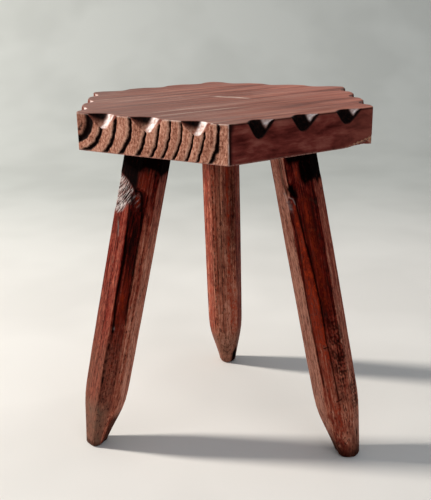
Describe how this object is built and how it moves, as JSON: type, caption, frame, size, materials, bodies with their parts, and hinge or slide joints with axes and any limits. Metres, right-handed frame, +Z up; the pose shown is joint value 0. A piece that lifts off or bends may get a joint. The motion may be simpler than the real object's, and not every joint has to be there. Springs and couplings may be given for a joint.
{
  "type": "tripod stool",
  "caption": "Rustic tripod stool: a thick hexagonal plank seat with gouged notches along its top edge, on splayed legs hewn to octagons and cut to blunt points.",
  "frame": {"origin": "the middle of the stool's box in plan, on the floor it stands on", "axes": "+Z up from the floor to the seat, -Y towards the seat's front corner, +X to the right as seen from that corner"},
  "size_m": [0.3546, 0.3838, 0.433],
  "materials": {
    "seat_wood": "worn reddish-brown stain with a satin sheen, raised end grain with dark recessed rings",
    "leg_wood": "hewn, dark red-brown stain with black streaks, satin",
    "wedge_wood": "bare split hardwood, matt"
  },
  "bodies": {
    "root": {"seat": "seat_wood", "leg_left": "leg_wood", "leg_right": "leg_wood", "leg_back": "leg_wood", "wedge_left": "wedge_wood", "wedge_right": "wedge_wood", "wedge_back": "wedge_wood"}
  },
  "joints": []
}
